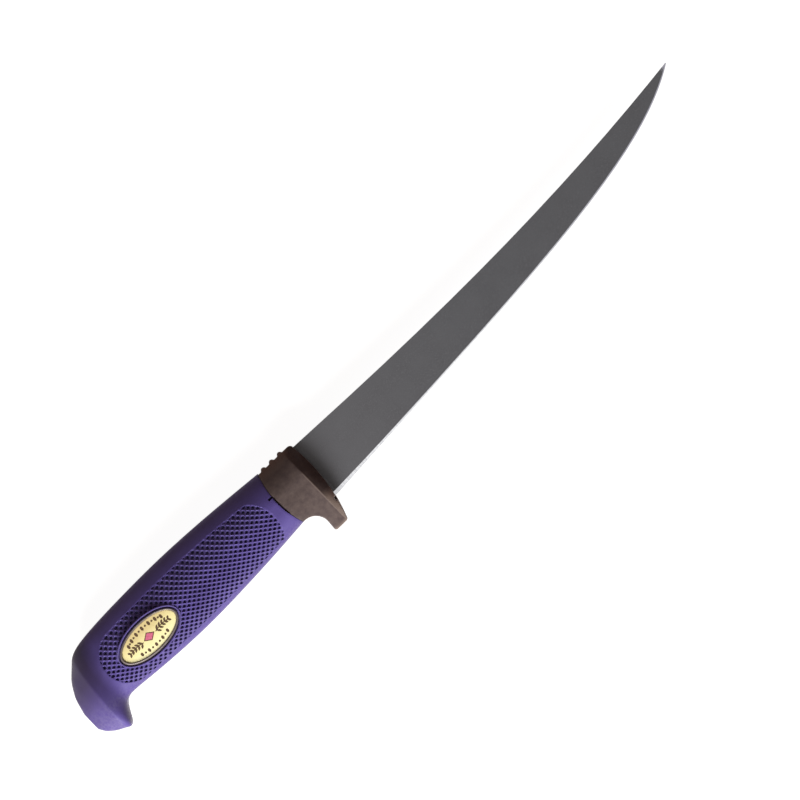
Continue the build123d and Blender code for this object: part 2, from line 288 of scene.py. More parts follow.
def moulded_rubber():
    # Soft thermoplastic rubber moulded against an eroded steel tool: matt, violet-blue, with a very fine
    # grain that scatters the light. The floors of the narrow pits are painted almost black: painted shade.
    made, tree, shader = finish_named("moulded_rubber")
    body = add(tree, "ValToRGB", (grain(tree, 6.0, 3.0),), ((0.3, "#483C77"), (0.7, "#504483")))
    # Painted shade for the hollow before the butt's rim and the cap's back comes with the points
    pit, painted_shade, paler_share = (
        add(tree, "Attribute", attribute_name=name).outputs["Fac"] for name in ("pit", "painted_shade", "scuff_and_sheen")
    )
    # Painted shade: the deeper a point lies in a pit, the nearer to black it is painted
    depth = add(
        tree,
        "MapRange",
        {"Value": pit, "From Min": 0.25, "From Max": 0.8},
        interpolation_type="SMOOTHSTEP",
    )
    # Scuffs with painted sheen on the cap's foot, and painted sheen along the belly, mottled into a paler
    # layer
    spots = grain(tree, 1.1, 4.0, 0.65)
    mottle = add(tree, "MapRange", {"Value": spots, "From Min": 0.35, "From Max": 0.65})
    scuff_and_sheen = add(tree, "Math MULTIPLY", (paler_share, mottle))
    speck = grain(tree, 0.35, 2.0)
    inputs = {
        "Base Color": layered(tree, body, (scuff_and_sheen, "#7A7396"), (painted_shade, "#24172E"), (depth, "#07022A")),
        "Roughness": add(tree, "MapRange", {"Value": speck, "To Min": 0.5, "To Max": 0.66}),
        "Specular IOR Level": 0.25,
        "Sheen Weight": 0.25,
        "Sheen Roughness": 0.4,
        "Normal": add(tree, "Bump", {"Strength": 0.25, "Distance": 0.06 * METRE, "Height": speck}),
    }
    fill(tree, shader, inputs)
    return made


def darkened_bronze():
    # Nickel bronze, cast, tumbled and darkened: satin brown-grey with soft clouds of oxide and the faint
    # pebbling that tumbling leaves. Painted highlight makes it paler on the faces turned to the spine and the
    # belly, along the crease's lower half and down the quillon's front; painted shade darkens the faces
    # turned back towards the handle, at the joint.
    made, tree, shader = finish_named("darkened_bronze")
    cloud = grain(tree, 2.2, 4.0, 0.6)
    body = add(tree, "ValToRGB", (cloud,), ((0.3, "#4A403F"), (0.55, "#564B48"), (0.75, "#5E534F")))
    facing = add(tree, "SeparateXYZ", (add(tree, "NewGeometry").outputs["Normal"],)).outputs
    place = object_place(tree)
    edgewise = add(tree, "Math ABSOLUTE", (facing["Y"],))
    ahead_of_crease = add(tree, "Math SUBTRACT", (place["X"], (root_x - nose_back) * METRE))
    off_crease = add(tree, "Math ABSOLUTE", (ahead_of_crease,))
    masks = (
        (edgewise, 0.55, 0.9, 1.0),
        (facing["X"], 0.2, 0.45, 1.0),
        (place["Y"], -5.5 * METRE, -8.8 * METRE, 1.0),
        (off_crease, 0.35 * METRE, 0.1 * METRE, 0.6),
        (place["Y"], 6.0 * METRE, 1.0 * METRE, 1.0),
        (facing["X"], -0.12, -0.4, 1.0),
        (place["Y"], -9.1 * METRE, -8.3 * METRE, 1.0),
    )
    edges, ahead, low, crease, lower_half, behind, above_notch = (
        add(tree, "MapRange", {"Value": value, "From Min": start, "From Max": end, "To Max": most})
        for value, start, end, most in masks
    )
    # Painted highlight: faces turned to the spine and belly, the quillon's front and a line along the crease
    quillon_front = add(tree, "Math MULTIPLY", (ahead, low))
    crease_line = add(tree, "Math MULTIPLY", (crease, lower_half))
    paler_share = add(tree, "Math MAXIMUM", (edges, quillon_front))
    paler_share = add(tree, "Math MAXIMUM", (paler_share, crease_line))
    # Painted shade on the faces turned back towards the handle, above the notch
    painted_shade = add(tree, "Math MULTIPLY", (behind, above_notch))
    pebble = grain(tree, 0.4, 2.0)
    inputs = {
        "Base Color": layered(tree, body, (paler_share, "#8E8077"), (painted_shade, "#1E1616")),
        "Metallic": 0.04,
        "Specular IOR Level": 0.07,
        "Roughness": add(tree, "MapRange", {"Value": cloud, "To Min": 0.36, "To Max": 0.52}),
        "Normal": add(tree, "Bump", {"Strength": 0.3, "Distance": 0.08 * METRE, "Height": pebble}),
    }
    fill(tree, shader, inputs)
    return made


def coated_steel():
    # Stainless steel under a baked non-stick coating: dark grey satin with the fine sparkle of the blasted
    # surface under it, painted a little paler near the guard to lift the guard's cast shadow: painted light.
    # The cutting bevel is ground after coating, so it is bare, with lines across it, bright at the heel and
    # duller towards the point.
    made, tree, shader = finish_named("coated_steel")
    facing = add(tree, "SeparateXYZ", (add(tree, "NewGeometry").outputs["True Normal"],)).outputs
    bare = add(tree, "Math LESS_THAN", (facing["Y"], -0.085))
    place = object_place(tree)
    # Painted light near the guard, where the guard's shadow falls on the blade
    painted_light_by_guard, dull = (
        add(
            tree,
            "MapRange",
            {"Value": place["X"], "From Min": start * METRE, "From Max": end * METRE, "To Max": most},
        )
        for start, end, most in ((40, -30, 0.22), (30, 130, 1.0))
    )
    speck = grain(tree, 0.3, 1.0)
    lines = grain(tree, 0.25, 3.0, 0.6, stretch=(1, 0.08, 0.08))
    coat = add(tree, "ValToRGB", (speck,), ((0.3, "#353538"), (0.6, "#404043"), (0.78, "#5A5B5E")))
    coat = layered(tree, coat, (grain(tree, 9.0, 3.0), "#48494C"), (painted_light_by_guard, "#5A585A"))
    steel = add(tree, "ValToRGB", (lines,), ((0.25, "#B4B4B8"), (0.7, "#E4E4E6")))
    steel = layered(tree, steel, (dull, "#A09EA8"))
    height = add(tree, "Mix", {"Factor": bare, 2: speck, 3: lines}, data_type="FLOAT")
    inputs = {
        "Base Color": layered(tree, coat, (bare, steel)),
        "Metallic": bare,
        "Roughness": add(tree, "Mix", {"Factor": bare, 2: 0.42, 3: 0.3}, data_type="FLOAT"),
        "Normal": add(tree, "Bump", {"Strength": 0.2, "Distance": 0.03 * METRE, "Height": height}),
    }
    fill(tree, shader, inputs)
    return made


def stamped_brass():
    # Thin brass frame, stamped and darkened: a soft grey-brown metal with faint clouds.
    made, tree, shader = finish_named("stamped_brass")
    cloud = grain(tree, 1.2, 3.0)
    inputs = {
        "Base Color": add(tree, "ValToRGB", (cloud,), ((0.3, "#5A504E"), (0.7, "#6C6260"))),
        "Metallic": 0.25,
        "Roughness": 0.45,
        "Normal": add(tree, "Bump", {"Strength": 0.2, "Distance": 0.04 * METRE, "Height": cloud}),
    }
    fill(tree, shader, inputs)
    return made


def gold_lacquer():
    # Brass foil under pale gold lacquer: bright cream-gold, with painted shade that deepens it to tan over
    # the upper half, turned from the lamp.
    made, tree, shader = finish_named("gold_lacquer")
    # Painted shade: darker towards the top of the plate
    rise = add(
        tree,
        "MapRange",
        {
            "Value": object_place(tree)["Y"],
            "From Min": (badge_y - plate_half_height) * METRE,
            "From Max": (badge_y + plate_half_height) * METRE,
        },
    )
    tone_and_painted_shade = add(tree, "Math MULTIPLY_ADD", (grain(tree, 3.0, 2.0), 0.35, rise))
    brushed = grain(tree, 0.2, 2.0, stretch=(0.1, 1, 1))
    body = add(tree, "ValToRGB", (tone_and_painted_shade,), ((0.3, "#F7EFB7"), (0.65, "#EEE1A2"), (1.0, "#DAC58A")))
    inputs = {
        "Base Color": body,
        "Metallic": 0.6,
        "Roughness": 0.32,
        "Coat Weight": 0.4,
        "Coat Roughness": 0.1,
        "Normal": add(tree, "Bump", {"Strength": 0.1, "Distance": 0.02 * METRE, "Height": brushed}),
    }
    fill(tree, shader, inputs)
    return made


def screen_ink(name, dark, light):
    # Screen-printed enamel ink, fired on: slightly uneven in tone, with a soft gloss.
    made, tree, shader = finish_named(name)
    tone = add(tree, "ValToRGB", (grain(tree, 0.5, 2.0),), ((0.3, dark), (0.7, light)))
    fill(tree, shader, {"Base Color": tone, "Roughness": 0.4})
    return made


def core_plastic():
    # Glass-filled nylon, moulded: dull black with a faint fibre mottle. The rubber hides it.
    made, tree, shader = finish_named("core_plastic")
    tone = add(tree, "ValToRGB", (grain(tree, 0.8, 3.0),), ((0.3, "#1B1B1D"), (0.7, "#262628")))
    fill(tree, shader, {"Base Color": tone, "Roughness": 0.55})
    return made


def foam_pad():
    # Closed-cell adhesive foam: pale grey and pocked with small cells.
    made, tree, shader = finish_named("foam_pad")
    place = add(tree, "TexCoord").outputs["Object"]
    cells = add(tree, "TexVoronoi", {"Vector": place, "Scale": 1 / (0.3 * METRE)})
    tone = add(tree, "ValToRGB", (cells.outputs["Distance"],), ((0.1, "#8C8C8A"), (0.7, "#C4C4C0")))
    fill(tree, shader, {"Base Color": tone, "Roughness": 0.8})
    return made


def placed(name, data):
    """An object in the scene for a mesh, lamp or camera."""
    made = bpy.data.objects.new(name, data)
    bpy.context.scene.collection.objects.link(made)
    return made


def piece(name, mesh, finish, slot, *stands_for):
    """A mesh in the shared frame becomes a piece of the knife."""
    made = placed(name, mesh)
    mesh.materials.clear()
    mesh.materials.append(finish)
    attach(made, "root")
    if stands_for:
        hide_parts(*stands_for)
    return made


def soften(mesh, degrees):
    """Smooth shading, kept sharp where faces meet at more than that angle."""
    mesh.shade_smooth()
    mesh.set_sharp_from_angle(angle=math.radians(degrees))


def mesh_of(name, points, faces, smooth_below=None):
    """A mesh from points in millimetres in the knife's own places, its faces turned outwards."""
    moved = (np.asarray(points, float) + (root_x, 0, 0)) * METRE
    mesh = bpy.data.meshes.new(name)
    mesh.from_pydata(moved.tolist(), [], faces)
    turned = bmesh.new()
    turned.from_mesh(mesh)
    bmesh.ops.recalc_face_normals(turned, faces=turned.faces)
    turned.to_mesh(mesh)
    turned.free()
    if smooth_below is not None:
        soften(mesh, smooth_below)
    return mesh


def skin_over(loops, hubs=None):
    """Points and faces of a skin over closed loops of equally many points: ends are flat, or meet at hubs."""
    count, around = len(loops), len(loops[0])
    points = [tuple(point) for loop in loops for point in loop]
    faces = []
    for c in range(count - 1):
        here, there = c * around, (c + 1) * around
        for r in range(around):
            after = (r + 1) % around
            faces.append((here + r, here + after, there + after, there + r))
    ends = [[k * around + r for r in range(around)] for k in (0, count - 1)]
    if hubs is None:
        return points, faces + ends
    for end, hub in zip(ends, hubs):
        faces += [(end[r], end[(r + 1) % around], len(points)) for r in range(around)]
        points.append(hub)
    return points, faces


def block_of(name, ahead, heights, depths):
    """A rectangular solid between two places, two heights and two depths."""
    points = [(x, y, z) for x in ahead for y in heights for z in depths]
    faces = [(0, 1, 3, 2), (4, 5, 7, 6), (0, 1, 5, 4), (2, 3, 7, 6), (0, 2, 6, 4), (1, 3, 7, 5)]
    return mesh_of(name, points, faces)


def combined(body, steps):
    """Exact boolean steps added to a body: pairs of an operation and a mesh. Gives the tools they use."""
    tools = []
    for operation, mesh in steps:
        tools.append(placed(mesh.name, mesh))
        step = body.modifiers.new(mesh.name, "BOOLEAN")
        step.operation = operation
        step.solver = "EXACT"
        step.object = tools[-1]
    return tools


def settled(name, body, tools):
    """The body's evaluated shape as a plain mesh. The body, its modifiers and its tools go."""
    graph = bpy.context.evaluated_depsgraph_get()
    mesh = bpy.data.meshes.new_from_object(body.evaluated_get(graph))
    mesh.name = name
    for used in (body, *tools):
        bpy.data.objects.remove(used)
    return mesh


# Grip: the rubber body, lofted through the solid's stations, with a deeper hollow before the butt's rim
def natural_curve(places, values):
    """Natural cubic curve through the values at the places."""
    places, values = np.asarray(places, float), np.asarray(values, float)
    count, gaps = len(places), np.diff(places)
    weights, bends = np.eye(count), np.zeros(count)
    for k in range(1, count - 1):
        weights[k, k - 1:k + 2] = gaps[k - 1], 2 * (gaps[k - 1] + gaps[k]), gaps[k]
        slopes = np.diff(values[k - 1:k + 2]) / gaps[k - 1:k + 1]
        bends[k] = 6 * (slopes[1] - slopes[0])
    moments = np.linalg.solve(weights, bends)

    def at(place):
        k = int(np.clip(np.searchsorted(places, place) - 1, 0, count - 2))
        after, before, gap = place - places[k], places[k + 1] - place, gaps[k]
        bent = (moments[k] * before**3 + moments[k + 1] * after**3) / (6 * gap)
        straight = (values[k] * before + values[k + 1] * after) / gap
        return bent + straight - gap * (moments[k] * before + moments[k + 1] * after) / 6

    return at


def measures(back, belly, beak, half):
    """Heights and half thickness at a station from its shares."""
    lowest = -belly_drop * belly - (beak_drop - belly_drop) * beak
    return np.array((back_rise * back, lowest, half_thickness * half))


barrel_rows = [measures(*row) for row in zip(grip_backs, grip_bellies, grip_beaks, grip_halves)]
cap_rows = [measures(*row) for row in zip(cap_backs, cap_bellies, cap_beaks, cap_halves)]
barrel_places = [-handle_length * share for share in grip_stations]
barrel_curves = [
    natural_curve([-place for place in barrel_places], [row[k] for row in barrel_rows]) for k in range(3)
]
bow_at = natural_curve(bow_rises, bow_shifts)


def barrel_at(place):
    return np.array([measure_at(-place) for measure_at in barrel_curves])


def curve(first, second, third, last, steps):
    """Points of a cubic curve."""
    t = np.linspace(0, 1, steps)[:, None]
    first, second, third, last = (np.asarray(point, float) for point in (first, second, third, last))
    return (1 - t) ** 3 * first + 3 * (1 - t) ** 2 * t * second + 3 * (1 - t) * t**2 * third + t**3 * last


def oval(back, waist, belly, half, foot, side_share, round_share):
    """Half a section, from the middle of the belly to the crown: heights and depths, and the run to each."""
    shoulder = waist + (back - waist) * flat_share
    crown_side = shoulder + (back - shoulder) * crown_side_share
    belly_side = waist - (waist - belly) * side_share
    belly_foot = foot + (half - foot) * round_share
    below = curve((belly, foot), (belly, belly_foot), (belly_side, half), (waist, half), section_steps)
    above = curve(
        (shoulder, half), (crown_side, half), (back, half * crown_top_share), (back, 0), section_steps
    )
    points = np.concatenate((((belly, 0),), below, above))
    runs = np.concatenate(([0], np.cumsum(np.linalg.norm(np.diff(points, axis=0), axis=1))))
    return points, runs


def grip_oval(back, belly, half):
    waist = belly + (back - belly) * waist_share
    return oval(back, waist, belly, half, half * foot_share, belly_side_share, belly_foot_share)


def column_runs(place, row):
    """How far round the section a column's points lie: checkering rows in the middle, even steps beyond."""
    points, runs = grip_oval(*row)
    rows = np.arange(row_first, row_last + 1) * pitch_across / steps_per_pitch
    rises = row_rise + (1 - np.sqrt(1 - 4 * row_spread * rows)) / (2 * row_spread)
    rises = rises + row_slope * (place - field_middle)
    low = int(np.searchsorted(rises, row[1] + row_edge))
    high = int(np.searchsorted(rises, row[0] - row_edge))
    middle = np.interp(rises[low:high], points[:, 0], runs)
    below = np.linspace(0, middle[0], belly_steps + low, endpoint=False)
    above = np.linspace(middle[-1], runs[-1], spine_steps + len(rises) - high + 1)[1:]
    return np.concatenate((below, middle, above)) / runs[-1]


def section_points(place, row, shares):
    """Points of the section at one place, at shares of its run."""
    points, runs = grip_oval(*row)
    rises = np.interp(shares * runs[-1], runs, points[:, 0])
    depths = np.interp(shares * runs[-1], runs, points[:, 1])
    return np.stack((np.full(rises.shape, place), rises, depths), axis=1)


def barrel_point(place, share):
    return section_points(place, barrel_at(place), np.array([share]))[0]


def rounded_rows(places, rows, reaches, steps):
    """Places and measures along straight runs whose corners are rounded over each corner's reach."""
    stacked = np.column_stack((places, rows))
    made = [stacked[0]]
    for k, reach in enumerate(reaches, 1):
        before, corner, after = stacked[k - 1], stacked[k], stacked[k + 1]
        start = corner + (before - corner) * reach / abs(before[0] - corner[0])
        end = corner + (after - corner) * reach / abs(after[0] - corner[0])
        for t in np.linspace(0, 1, steps):
            made.append((1 - t) ** 2 * start + 2 * t * (1 - t) * corner + t**2 * end)
    made.append(stacked[-1])
    return np.array(made)


rim_place = barrel_places[-1]
butt_shape = rounded_rows(
    [rim_place + rim_reach, rim_place] + [-handle_length * share for share in cap_stations],
    [barrel_at(rim_place + rim_reach), barrel_rows[-1]] + cap_rows,
    (rim_reach * rim_round_share, *cap_reaches),
    butt_steps,
)


def heights_at(place):
    """Back and belly of the outline at any place along the grip."""
    if place > rim_place + rim_reach:
        return barrel_at(place)[:2]
    return np.array([np.interp(-place, -butt_shape[:, 0], butt_shape[:, k]) for k in (1, 2)])


def column_points(place, half, shares):
    """One column of points. They lean with the pits, and near the butt they slide so that the rim bows."""
    plain = section_points(place, (*heights_at(place), half), shares)
    start = np.clip((place - bow_start) / (rim_place - bow_start), 0, 1)
    end = np.clip((place + handle_length) / (rim_place + handle_length), 0, 1)
    fade = start * start * (3 - 2 * start) * end
    rises = plain[:, 1] - row_rise
    lean_share = np.interp(-place, (-lean_front, -lean_full, -field_rear, -rim_place), (0, 1, 1, 0))
    shifts = lean_share * rises * (column_lean + column_bow * rises)
    if fade == 0:
        ends = (shifts.min(), shifts.max() + barely)
        first, last = (section_points(place + end, (*heights_at(place + end), half), shares) for end in ends)
        along = ((shifts - ends[0]) / (ends[1] - ends[0]))[:, None]
        return first * (1 - along) + last * along
    shifts = shifts + fade * np.array([bow_at(rise) for rise in plain[:, 1]])
    moved = []
    for share, shift in zip(shares, shifts):
        there = place + float(shift)
        moved.append(section_points(there, (*heights_at(there), half), np.array([share]))[0])
    return np.array(moved)


def joint_back(rise):
    """How far behind the guard's front the joint lies at a height."""
    return guard_length - joint_sag - joint_radius + np.sqrt(joint_radius**2 - (rise - joint_rise) ** 2)


def gap_share(rise):
    """One inside the run where rubber and casting stand apart, falling to nothing at its ends."""
    return float(np.interp(rise, (gap_low, gap_low + gap_fade, gap_high - gap_fade, gap_high), (0, 1, 1, 0)))


def joint_column(shares, rises, inset, behind):
    """Column on the bowed joint, drawn in by inset and set back by behind."""
    made = []
    for run, rise in zip(shares, rises):
        # The place depends on the height and the height on the place, so it is found twice
        for _ in range(2):
            place = -float(joint_back(rise)) - behind - gap_in_rubber * gap_share(rise)
            point = barrel_point(place, run)
            rise = point[1]
        centre = np.array((point[0], joint_rise, 0.0))
        away = point - centre
        sunk = inset + (gap_depth * gap_share(rise) if behind == 0 else 0)
        made.append(centre + away * (1 - sunk / np.linalg.norm(away)))
    return np.array(made)


def half_columns():
    """Columns over one half of the grip, from the joint to the butt, and where the checkering grid is."""
    step = pitch_along / steps_per_pitch
    start_place = -column_first * step
    start_shares = column_runs(start_place, barrel_at(start_place))
    start_rises = section_points(start_place, barrel_at(start_place), start_shares)[:, 1]
    columns = [joint_column(start_shares, start_rises, inset, behind) for inset, behind in joint_lips]
    near = columns[-1][:, 0]
    for share in front_shares:
        places = near * (1 - share) + start_place * share
        columns.append(np.array([barrel_point(place, run) for place, run in zip(places, start_shares)]))
    grid_start = len(columns)
    grid = list(range(column_first, column_last + 1))
    places = [-index * step for index in grid]
    places += list(np.linspace(-column_last * step, rim_place + rim_reach, rear_columns)[1:])
    rows = [(place, barrel_at(place)) for place in places]
    rows += [(row[0], row[1:]) for row in butt_shape[2:]]
    for place, row in rows:
        columns.append(column_points(place, row[2], column_runs(place, row)))
    return np.array(columns), grid_start, grid


def shade_and_scuff_at(place, rise):
    """How much painted shade, and how much scuff and painted sheen, the rubber gets at a point."""
    bowed = place - bow_at(rise)
    if bowed < rim_place:
        return float(np.interp(rise, cap_rises, cap_shade)), float(np.interp(rise, cap_rises, cap_scuff_and_sheen))
    hollow = np.interp(-bowed, hollow_backs, hollow_shade) * np.interp(rise, hollow_rises, hollow_shares)
    return float(hollow), float(np.interp(rise, belly_rises, belly_sheen))


def grip_mesh():
    """Both halves of the grip as one closed mesh, its triangles turned so that pit edges stay crisp."""
    upper, grid_start, grid = half_columns()
    count, half_count = upper.shape[0], upper.shape[1]
    lower = upper[:, -2:0:-1] * (1, 1, -1)
    loops = np.concatenate((upper, lower), axis=1)
    around = loops.shape[1]
    half_pitch = steps_per_pitch // 2
    points = list((loops + (0, 0, mid_z)).reshape(-1, 3))
    faces = []
    for c in range(count - 1):
        on_grid = grid_start <= c < grid_start + len(grid) - 1
        for r in range(around):
            after = (r + 1) % around
            a, b = c * around + r, c * around + after
            d, e = (c + 1) * around + r, (c + 1) * around + after
            if not on_grid:
                faces.append((a, b, e, d))
                continue
            half_row = r if r < half_count - 1 else around - r - 1
            index = grid[c - grid_start] // half_pitch + (half_row - belly_steps + row_first) // half_pitch
            falling = index % 2 == 0
            if r >= half_count - 1:
                falling = not falling
            faces += [(a, b, d), (b, e, d)] if falling else [(a, b, e), (a, e, d)]
    for c, middle in ((0, (-guard_length, joint_rise, 0.0)), (count - 1, loops[-1].mean(axis=0))):
        ring = [c * around + r for r in range(around)]
        faces += [(ring[r], ring[(r + 1) % around], len(points)) for r in range(around)]
        points.append(np.array(middle) + (0, 0, mid_z))
    mesh = mesh_of("grip_body", points, faces)
    # The points carry painted shade, and scuffs with painted sheen, for the rubber's material
    shade_and_scuff_values = [shade_and_scuff_at(*point[:2]) for point in points]
    for name, values in zip(("painted_shade", "scuff_and_sheen"), zip(*shade_and_scuff_values)):
        mesh.attributes.new(name, "FLOAT", "POINT").data.foreach_set("value", values)
    return mesh


def circle_through(first, second, third):
    """Centre and radius, as one vector, of the circle through three points in the knife's own places."""
    (ax, ay), (bx, by), (cx, cy) = first, second, third
    turn = 2 * (ax * (by - cy) + bx * (cy - ay) + cx * (ay - by))
    squares = ax**2 + ay**2, bx**2 + by**2, cx**2 + cy**2
    x = (squares[0] * (by - cy) + squares[1] * (cy - ay) + squares[2] * (ay - by)) / turn
    y = (squares[0] * (cx - bx) + squares[1] * (ax - cx) + squares[2] * (bx - ax)) / turn
    return ((x + root_x) * METRE, y * METRE, math.hypot(ax - x, ay - y) * METRE)


def checkering_tree(finish):
    """Geometry Nodes that press the pits into both sides of the grip, and the values of their inputs."""
    tree = bpy.data.node_groups.new("checkering", "GeometryNodeTree")
    badge_reaches = [half + collar_reach + pit_margin for half in (plate_half_length, plate_half_height)]
    sizes = {
        "Pitch along": pitch_along * METRE,
        "Pitch across": pitch_across * METRE,
        "Row slope": row_slope,
        "Row spread": row_spread / METRE,
        "Column lean": column_lean,
        "Column bow": column_bow / METRE,
        "Pit width": pit_width_share,
        "Pit length": pit_length_share,
        "Pit depth": pit_depth * METRE,
        "Pit sharpness": pit_sharpness,
        "Margin": pit_margin * METRE,
        "Recess": field_recess * METRE,
        "Recess run": recess_run * METRE,
        "Front turn": (field_front_turn + root_x) * METRE,
        "Rear turn": (field_rear_turn + root_x) * METRE,
        "Middle X": (field_middle + root_x) * METRE,
        "Lattice X": root_x * METRE,
        "Lattice Y": row_rise * METRE,
        "Middle Z": mid_z * METRE,
    }
    front_corner, axis_front = (field_front_turn, field_front_foot), (field_front, field_axis_rise)
    arcs = {
        "Upper arc": circle_through(*field_upper),
        "Lower arc": circle_through(*field_lower),
        "Front arc": circle_through(field_upper[0], axis_front, front_corner),
        "Rear arc": circle_through(field_upper[2], (field_rear, field_axis_rise), field_lower[2]),
        "Badge": ((badge_x + root_x) * METRE, badge_y * METRE, 0.0),
        "Badge reach": (badge_reaches[0] * METRE, badge_reaches[1] * METRE, 1.0),
    }
    face = tree.interface
    face.new_socket("Geometry", in_out="INPUT", socket_type="NodeSocketGeometry")
    for kind, names in (("Float", sizes), ("Vector", arcs), ("Material", ("Finish",))):
        for name in names:
            face.new_socket(name, in_out="INPUT", socket_type="NodeSocket" + kind)
    face.new_socket("Geometry", in_out="OUTPUT", socket_type="NodeSocketGeometry")
    put = partial(add, tree)
    given = put("NodeGroupInput").outputs

    # A point's place in the lattice of pits, in pitches along and across
    x, y, z = put("SeparateXYZ", (put("GeometryNodeInputPosition"),)).outputs
    rise = put("Math SUBTRACT", (y, given["Lattice Y"]))
    bend = put("Math MULTIPLY_ADD", (rise, given["Column bow"], given["Column lean"]))
    shift = put("Math MULTIPLY", (bend, rise))
    from_front = put("Math SUBTRACT", (x, given["Lattice X"]))
    unbent = put("Math SUBTRACT", (from_front, shift))
    along = put("Math DIVIDE", (unbent, given["Pitch along"]))
    from_middle = put("Math SUBTRACT", (x, given["Middle X"]))
    drift = put("Math MULTIPLY", (from_middle, given["Row slope"]))
    level = put("Math SUBTRACT", (rise, drift))
    spread = put("Math MULTIPLY", (level, given["Row spread"]))
    crowding = put("Math SUBTRACT", (1.0, spread))
    evened = put("Math MULTIPLY", (level, crowding))
    across = put("Math DIVIDE", (evened, given["Pitch across"]))

    # Pits lie at whole numbers along both diagonals, and are oval along them
    near, off = [], []
    for operation, half_size in (("ADD", "Pit width"), ("SUBTRACT", "Pit length")):
        diagonal = put("Math " + operation, (across, along))
        near.append(put("Math ROUND", (diagonal,)))
        beside = put("Math SUBTRACT", (diagonal, near[-1]))
        off.append(put("Math DIVIDE", (beside, given[half_size])))
    away = put("VectorMath LENGTH", (put("CombineXYZ", (*off, 0.0)),)).outputs["Value"]
    within = put("Math SUBTRACT", (1.0, away))
    within = put("Math MAXIMUM", (within, 0.0))
    pit = put("Math POWER", (within, given["Pit sharpness"]))

    # Centre of the pit that a point belongs to
    to_centre = []
    for operation, here in (("SUBTRACT", along), ("ADD", across)):
        twice = put("Math " + operation, near)
        there = put("Math MULTIPLY", (twice, 0.5))
        to_centre.append(put("Math SUBTRACT", (there, here)))
    crowded = put("Math MULTIPLY_ADD", (spread, -2.0, 1.0))
    row_step = put("Math DIVIDE", (given["Pitch across"], crowded))
    up = put("Math MULTIPLY", (to_centre[1], row_step))
    bowed = put("Math MULTIPLY", (rise, given["Column bow"]))
    tilt = put("Math MULTIPLY_ADD", (bowed, 2.0, given["Column lean"]))
    tilted = put("Math MULTIPLY", (tilt, up))
    ahead = put("Math MULTIPLY_ADD", (to_centre[0], given["Pitch along"], tilted))
    centre_x = put("Math ADD", (x, ahead))
    centre_y = put("Math ADD", (y, up))
    centre = put("CombineXYZ", (centre_x, centre_y, 0.0))

    def inside(edge, point):
        """How far inside the circle of one edge of the field a point lies."""
        hub_x, hub_y, radius = put("SeparateXYZ", (given[edge],)).outputs
        hub = put("CombineXYZ", (hub_x, hub_y, 0.0))
        distance = put("VectorMath DISTANCE", (point, hub)).outputs["Value"]
        return put("Math SUBTRACT", (radius, distance))

    def inside_field(point):
        """How far inside the field's outline a point lies."""
        place = put("SeparateXYZ", (point,)).outputs["X"]
        behind_front = put("Math SUBTRACT", (given["Front turn"], place))
        before_rear = put("Math SUBTRACT", (place, given["Rear turn"]))
        front = put("Math MAXIMUM", (behind_front, inside("Front arc", point)))
        rear = put("Math MAXIMUM", (before_rear, inside("Rear arc", point)))
        least = put("Math MINIMUM", (front, rear))
        for edge in ("Upper arc", "Lower arc"):
            least = put("Math MINIMUM", (least, inside(edge, point)))
        return least

    # Pits are cut by the field's outline, and leave out those under the badge's collar
    inwards = put("Math DIVIDE", (inside_field(put("CombineXYZ", (x, y, 0.0))), given["Recess run"]))
    sunk = put("MapRange", {"Value": inwards}, interpolation_type="SMOOTHSTEP")
    in_field = put("Math GREATER_THAN", (inside_field(centre), given["Margin"]))
    from_badge = put("VectorMath SUBTRACT", (centre, given["Badge"]))
    in_reaches = put("VectorMath DIVIDE", (from_badge, given["Badge reach"]))
    off_middle = put("VectorMath LENGTH", (in_reaches,)).outputs["Value"]
    off_badge = put("Math GREATER_THAN", (off_middle, 1.0))
    far_side = put("Math LESS_THAN", (z, given["Middle Z"]))
    clear = put("Math MAXIMUM", (off_badge, far_side))
    depth = pit
    for share in (clear, in_field, sunk):
        depth = put("Math MULTIPLY", (depth, share))

    # Field and pits are pressed in from whichever side a point is on
    recess = put("Math MULTIPLY", (sunk, given["Recess"]))
    pressed_in = put("Math MULTIPLY_ADD", (depth, given["Pit depth"], recess))
    to_middle = put("Math SUBTRACT", (given["Middle Z"], z))
    side = put("Math SIGN", (to_middle,))
    push = put("Math MULTIPLY", (pressed_in, side))
    offset = put("CombineXYZ", (0.0, 0.0, push))
    pressed = put("GeometryNodeSetPosition", {"Geometry": given["Geometry"], "Offset": offset})
    # The pit's depth is kept for the rubber's material, which paints shade into the pit floors
    stored = {"Geometry": pressed, "Name": "pit", "Value": depth}
    kept = put("GeometryNodeStoreNamedAttribute", stored, data_type="FLOAT", domain="POINT")
    real = put("GeometryNodeRealizeInstances", (kept,))
    coated = put("GeometryNodeSetMaterial", {"Geometry": real, "Material": given["Finish"]})
    put("NodeGroupOutput", {"Geometry": coated})
    return tree, {**sizes, **arcs, "Finish": finish}


def make_grip(finish):
    """The grip with its checkering, the collar and pocket of the badge, and two nicks left by the mould."""
    body = placed("grip_body", grip_mesh())
    tree, given = checkering_tree(finish)
    pattern = body.modifiers.new("checkering", "NODES")
    pattern.node_group = tree
    for item in tree.interface.items_tree:
        if item.in_out == "INPUT" and item.name in given:
            pattern[item.identifier] = given[item.name]
    steps = (
        ("UNION", mesh_of("collar", *ellipse_ring(collar_profile, ring_steps, closed=False))),
        ("DIFFERENCE", mesh_of("badge_cutter", *ellipse_ring(pocket_profile, ring_steps, closed=False))),
        ("DIFFERENCE", block_of("side_nick", *side_nick)),
        ("DIFFERENCE", block_of("back_nick", *back_nick)),
    )
    mesh = settled("grip_rubber", body, combined(body, steps))
    soften(mesh, rubber_crease)
    return piece("grip_rubber", mesh, finish, "grip_rubber", "grip")


